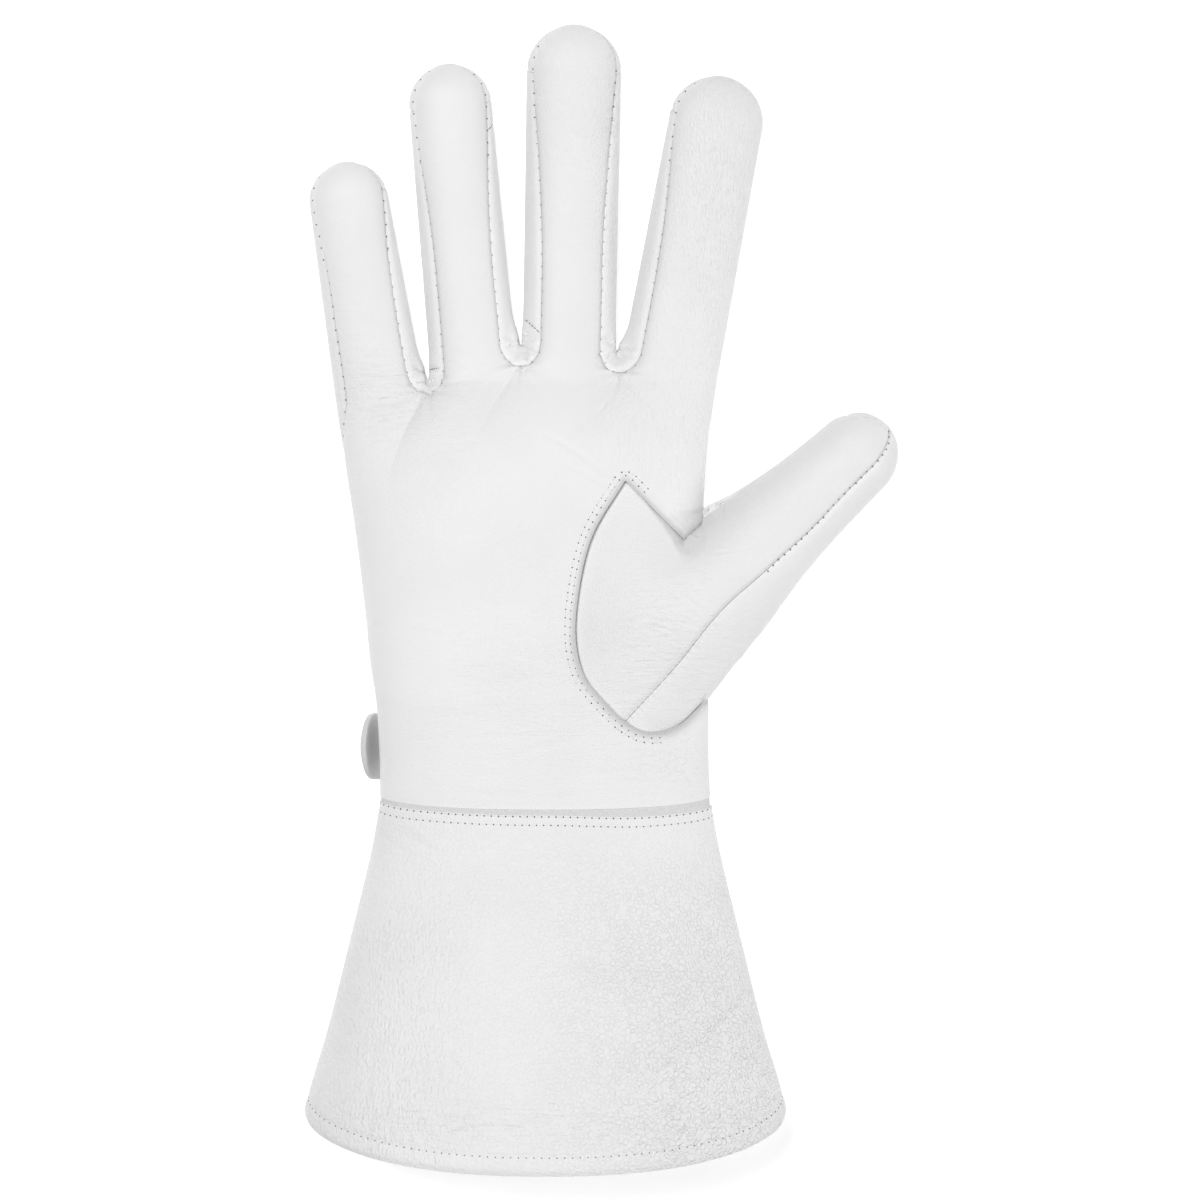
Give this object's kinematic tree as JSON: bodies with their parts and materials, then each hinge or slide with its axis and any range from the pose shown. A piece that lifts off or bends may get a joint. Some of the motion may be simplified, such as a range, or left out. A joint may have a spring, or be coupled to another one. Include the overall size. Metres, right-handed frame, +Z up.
{
  "type": "leather parade glove",
  "caption": "White leather parade glove for the right hand with a flared gauntlet cuff, lying palm up and filled out, open at the cuff and hollow to the fingertips.",
  "frame": {"origin": "centre of the bounding box in plan, on the surface that the glove lies on", "axes": "+X to the thumb's side, +Y to the fingertips, +Z up, out of the palm"},
  "size_m": [0.1776, 0.3438, 0.0502],
  "materials": {
    "hand_leather": "smooth white glove leather, satin",
    "cuff_leather": "grained white leather, satin",
    "seam_suede": "raw grey split leather, matte",
    "strap_leather": "white leather with a painted edge",
    "snap": "white, semi-gloss"
  },
  "bodies": {
    "root": {"palm_panel": "hand_leather", "back_panel": "hand_leather", "fourchette_index_outer": "hand_leather", "fourchette_middle_inner": "hand_leather", "fourchette_middle_outer": "hand_leather", "fourchette_ring_inner": "hand_leather", "fourchette_ring_outer": "hand_leather", "fourchette_little_inner": "hand_leather", "thumb_front": "hand_leather", "thumb_back": "hand_leather", "wrist_seam_strip": "seam_suede", "cuff_front": "cuff_leather", "cuff_back": "cuff_leather", "wrist_strap": "strap_leather", "strap_snap": "snap"}
  },
  "joints": []
}
